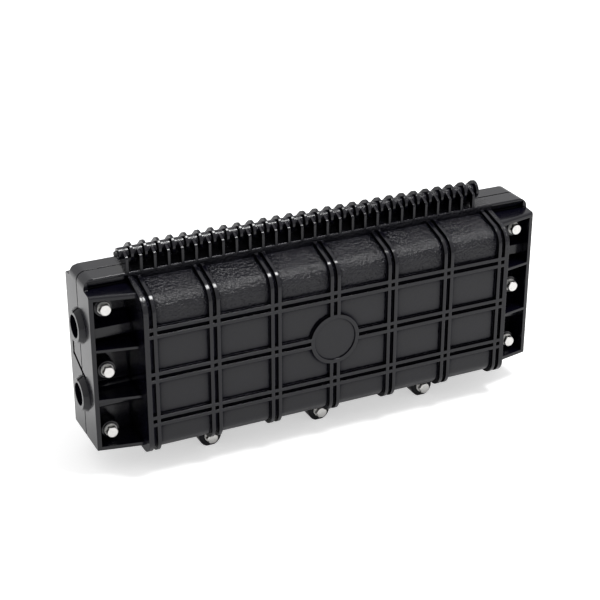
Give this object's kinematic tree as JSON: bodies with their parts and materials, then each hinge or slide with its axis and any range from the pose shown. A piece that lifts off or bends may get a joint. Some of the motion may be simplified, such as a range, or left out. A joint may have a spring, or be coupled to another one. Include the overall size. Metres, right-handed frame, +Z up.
{
  "type": "inline splice closure",
  "caption": "Black ribbed clamshell case with a comb-hinged cover, bolted edges and sealed cable ports at both ends, for joining cables in line.",
  "frame": {"origin": "on the floor under the middle of the closure, in the parting plane of the two shells", "axes": "+X along the closure to the right end, +Y from the front shell to the rear shell, +Z up to the hinge"},
  "size_m": [0.47, 0.1136, 0.2168],
  "materials": {
    "shell": "fine grained moulding",
    "bolt_steel": "bright",
    "pin_steel": "blackened",
    "saddle_steel": "zinc plated",
    "bracket_aluminium": "mill finish",
    "insert_brass": "turned",
    "clamp_brass": "plain",
    "seal_rubber": "soft",
    "tray_plastic": "moulded",
    "holder_plastic": "moulded",
    "cover_plastic": "clear sheet"
  },
  "bodies": {
    "rear_half": {"rear_shell": "shell", "hinge_pin": "pin_steel", "thread_inserts": "insert_brass", "upper_seal_strip": "seal_rubber", "lower_seal_strip": "seal_rubber", "left_seal_strip": "seal_rubber", "right_seal_strip": "seal_rubber", "tray_bracket": "bracket_aluminium", "bracket_screws": "bolt_steel", "tray_posts": "bolt_steel", "wing_nuts": "bolt_steel", "tray_cover": "cover_plastic", "saddle_screws": "bolt_steel", "clamp_screws": "bolt_steel", "splice_tray_1": "tray_plastic", "splice_holder_1_left": "holder_plastic", "splice_holder_1_right": "holder_plastic", "splice_tray_2": "tray_plastic", "splice_holder_2_left": "holder_plastic", "splice_holder_2_right": "holder_plastic", "port_seal_left_upper": "seal_rubber", "cable_saddle_left_upper": "saddle_steel", "strength_clamp_left_upper": "clamp_brass", "port_seal_left_lower": "seal_rubber", "cable_saddle_left_lower": "saddle_steel", "strength_clamp_left_lower": "clamp_brass", "port_seal_right_upper": "seal_rubber", "cable_saddle_right_upper": "saddle_steel", "strength_clamp_right_upper": "clamp_brass", "port_seal_right_lower": "seal_rubber", "cable_saddle_right_lower": "saddle_steel", "strength_clamp_right_lower": "clamp_brass"},
    "front_half": {"front_shell": "shell", "cover_bolts": "bolt_steel", "spring_washers": "bolt_steel", "flat_washers": "bolt_steel"}
  },
  "joints": [
    {"name": "cover_hinge", "type": "hinge", "parent": "rear_half", "child": "front_half", "pos_m": [0, -0.0074, 0.208], "axis": [-1, 0, 0], "range_deg": [0, 180]}
  ]
}
